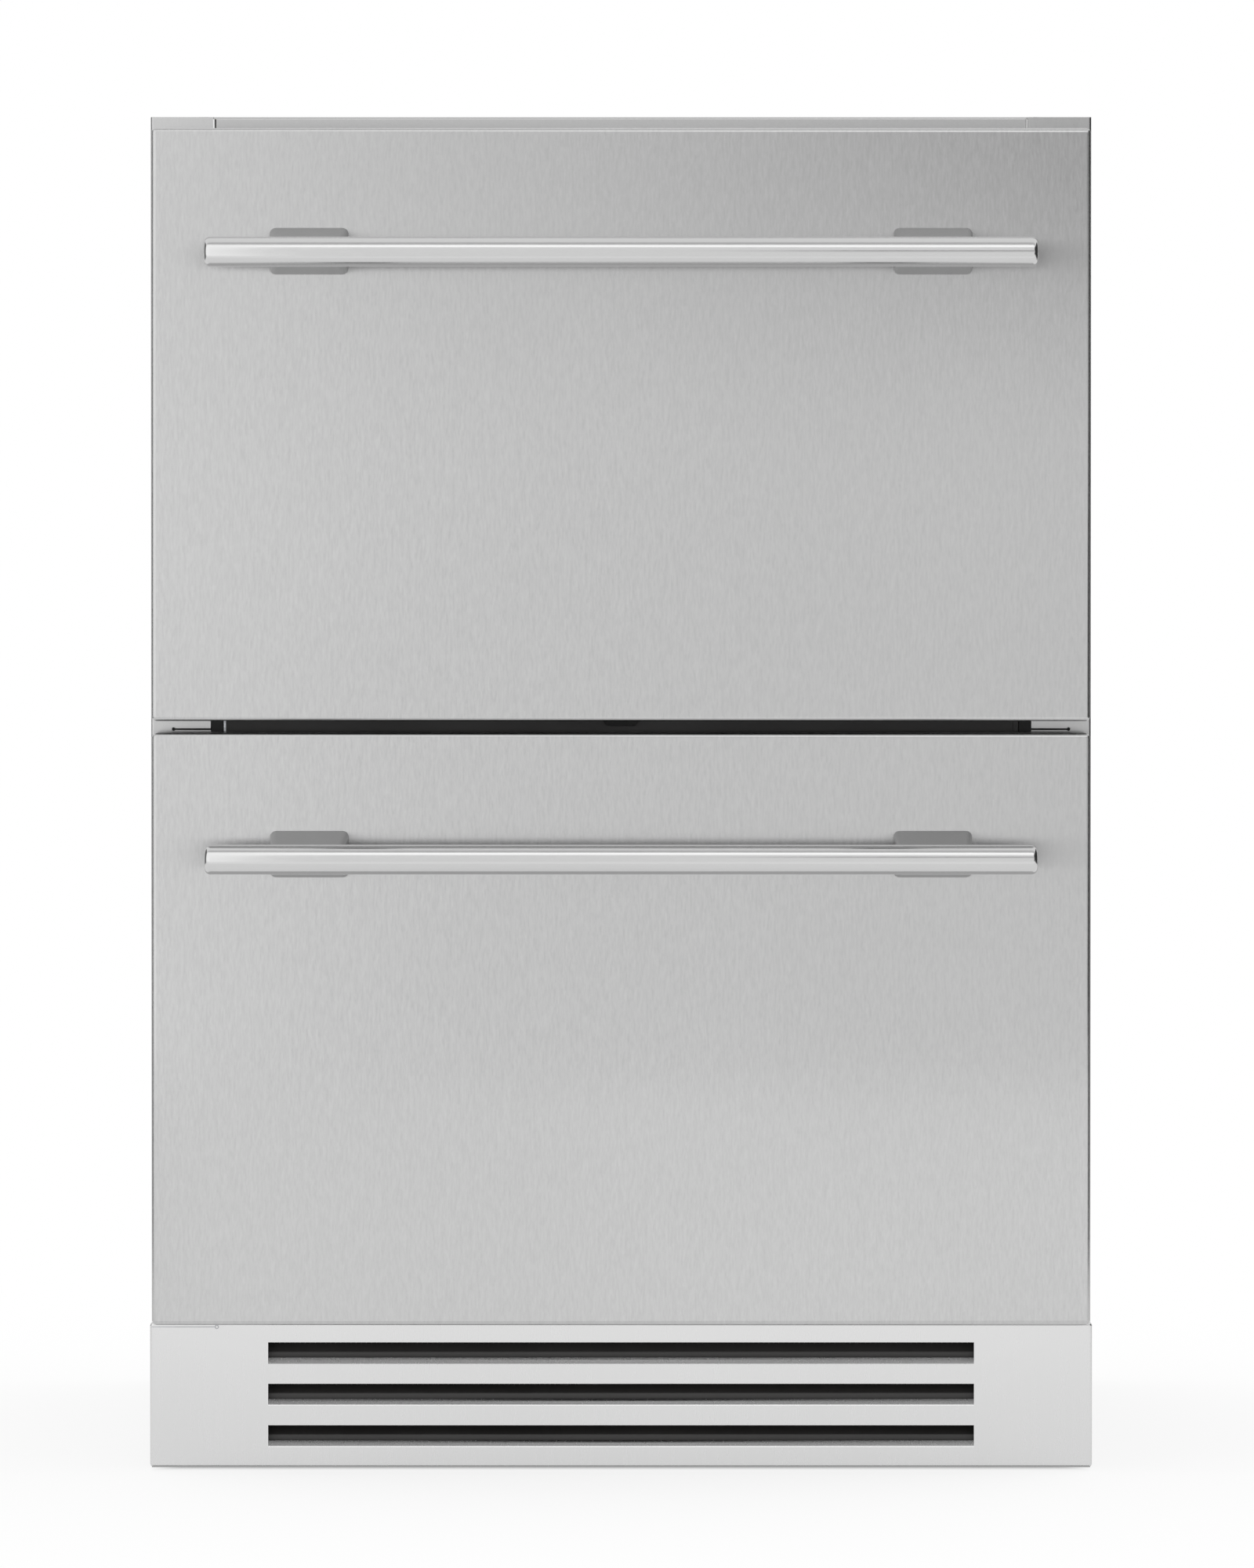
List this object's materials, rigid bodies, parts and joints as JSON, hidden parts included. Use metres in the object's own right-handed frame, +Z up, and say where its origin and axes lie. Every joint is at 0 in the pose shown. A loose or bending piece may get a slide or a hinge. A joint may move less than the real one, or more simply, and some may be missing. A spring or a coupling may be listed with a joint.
{
  "type": "undercounter drawer refrigerator",
  "caption": "Undercounter refrigerator with stacked pull-out drawers behind brushed steel fronts with bar handles, over a slotted toe grille that airs the compressor bay.",
  "frame": {"origin": "on the floor, under the middle of the whole box that holds the cabinet and its handles", "axes": "+X to the right as seen from the front, +Y towards the back, +Z up; the drawers pull out along -Y"},
  "size_m": [0.606, 0.6704, 0.87],
  "materials": {
    "front_steel": "satin",
    "handle_steel": "polished",
    "cabinet_steel": "satin",
    "galvanized": "matte",
    "liner_steel": "satin",
    "slide_steel": "satin",
    "coil_aluminium": "satin",
    "foam": "matte",
    "inner_plastic": "satin",
    "gasket": "matte",
    "breaker": "satin",
    "mullion_plastic": "satin",
    "black_plastic": "matte",
    "black_enamel": "gloss",
    "grey_plastic": "matte",
    "lens": "satin",
    "grommet": "matte"
  },
  "bodies": {
    "cabinet": {"left_side_panel": "cabinet_steel", "right_side_panel": "cabinet_steel", "top_panel": "cabinet_steel", "machine_deck": "galvanized", "back_panel": "galvanized", "base_pan": "galvanized", "cord_gland": "grommet", "cabinet_insulation": "foam", "inner_liner": "liner_steel", "evaporator_cover": "liner_steel", "breaker_frame": "breaker", "mullion": "mullion_plastic", "drawer_switch_housing": "black_plastic", "condenser_fan_frame": "black_plastic", "condensate_tray": "black_plastic", "grille_louvres": "black_plastic", "control_box": "grey_plastic", "evaporator_fan_motor": "grey_plastic", "thermostat_housing": "grey_plastic", "light_bar": "lens", "condenser_coil": "coil_aluminium", "evaporator_coil": "coil_aluminium", "compressor": "black_enamel", "toe_grille": "front_steel", "upper_left_cabinet_slide": "slide_steel", "upper_right_cabinet_slide": "slide_steel", "lower_left_cabinet_slide": "slide_steel", "lower_right_cabinet_slide": "slide_steel"},
    "upper_drawer": {"upper_drawer_skin": "front_steel", "upper_drawer_insulation": "foam", "upper_drawer_inner_panel": "inner_plastic", "upper_drawer_gasket": "gasket", "upper_drawer_bin": "liner_steel", "upper_handle_bar": "handle_steel", "upper_left_standoff": "handle_steel", "upper_right_standoff": "handle_steel", "upper_left_drawer_slide": "slide_steel", "upper_right_drawer_slide": "slide_steel"},
    "lower_drawer": {"lower_drawer_skin": "front_steel", "lower_drawer_insulation": "foam", "lower_drawer_inner_panel": "inner_plastic", "lower_drawer_gasket": "gasket", "lower_drawer_bin": "liner_steel", "lower_handle_bar": "handle_steel", "lower_left_standoff": "handle_steel", "lower_right_standoff": "handle_steel", "lower_left_drawer_slide": "slide_steel", "lower_right_drawer_slide": "slide_steel"},
    "upper_left_slide": {"upper_left_middle_slide": "slide_steel"},
    "upper_right_slide": {"upper_right_middle_slide": "slide_steel"},
    "lower_left_slide": {"lower_left_middle_slide": "slide_steel"},
    "lower_right_slide": {"lower_right_middle_slide": "slide_steel"},
    "condenser_rotor": {"condenser_fan": "black_plastic"},
    "evaporator_rotor": {"evaporator_fan": "black_plastic"},
    "switch_plunger": {"drawer_switch_plunger": "grey_plastic"},
    "thermostat_dial": {"thermostat_knob": "black_plastic"},
    "front_left_leveller": {"front_left_foot": "galvanized"},
    "front_right_leveller": {"front_right_foot": "galvanized"},
    "back_left_leveller": {"back_left_foot": "galvanized"},
    "back_right_leveller": {"back_right_foot": "galvanized"}
  },
  "joints": [
    {"name": "upper_drawer_pull", "type": "slide", "parent": "cabinet", "child": "upper_drawer", "axis": [0, -1, 0], "range_m": [0, 0.41]},
    {"name": "lower_drawer_pull", "type": "slide", "parent": "cabinet", "child": "lower_drawer", "axis": [0, -1, 0], "range_m": [0, 0.29]},
    {"name": "upper_left_slide_run", "type": "slide", "parent": "cabinet", "child": "upper_left_slide", "axis": [0, -1, 0], "range_m": [0, 0.205]},
    {"name": "upper_right_slide_run", "type": "slide", "parent": "cabinet", "child": "upper_right_slide", "axis": [0, -1, 0], "range_m": [0, 0.205]},
    {"name": "lower_left_slide_run", "type": "slide", "parent": "cabinet", "child": "lower_left_slide", "axis": [0, -1, 0], "range_m": [0, 0.145]},
    {"name": "lower_right_slide_run", "type": "slide", "parent": "cabinet", "child": "lower_right_slide", "axis": [0, -1, 0], "range_m": [0, 0.145]},
    {"name": "condenser_rotor_spin", "type": "hinge", "parent": "cabinet", "child": "condenser_rotor", "pos_m": [-0.07, -0.15475, 0.0518], "axis": [0, 1, 0], "continuous": true},
    {"name": "evaporator_rotor_spin", "type": "hinge", "parent": "cabinet", "child": "evaporator_rotor", "pos_m": [0, 0.24325, 0.7], "axis": [0, 1, 0], "continuous": true},
    {"name": "switch_plunger_press", "type": "slide", "parent": "cabinet", "child": "switch_plunger", "axis": [0, 1, 0], "range_m": [0, 0.0025], "stiffness_N_per_m": 200},
    {"name": "thermostat_dial_turn", "type": "hinge", "parent": "cabinet", "child": "thermostat_dial", "pos_m": [0, -0.21905, 0.8097], "axis": [0, -1, 0], "range_deg": [0, 270]},
    {"name": "front_left_leveller_screw", "type": "slide", "parent": "cabinet", "child": "front_left_leveller", "axis": [0, 0, -1], "range_m": [0, 0.02]},
    {"name": "front_right_leveller_screw", "type": "slide", "parent": "cabinet", "child": "front_right_leveller", "axis": [0, 0, -1], "range_m": [0, 0.02]},
    {"name": "back_left_leveller_screw", "type": "slide", "parent": "cabinet", "child": "back_left_leveller", "axis": [0, 0, -1], "range_m": [0, 0.02]},
    {"name": "back_right_leveller_screw", "type": "slide", "parent": "cabinet", "child": "back_right_leveller", "axis": [0, 0, -1], "range_m": [0, 0.02]}
  ],
  "couplings": [
    {"joint": "upper_left_slide_run", "follows": "upper_drawer_pull", "ratio": 0.5},
    {"joint": "upper_right_slide_run", "follows": "upper_drawer_pull", "ratio": 0.5},
    {"joint": "lower_left_slide_run", "follows": "lower_drawer_pull", "ratio": 0.5},
    {"joint": "lower_right_slide_run", "follows": "lower_drawer_pull", "ratio": 0.5}
  ]
}
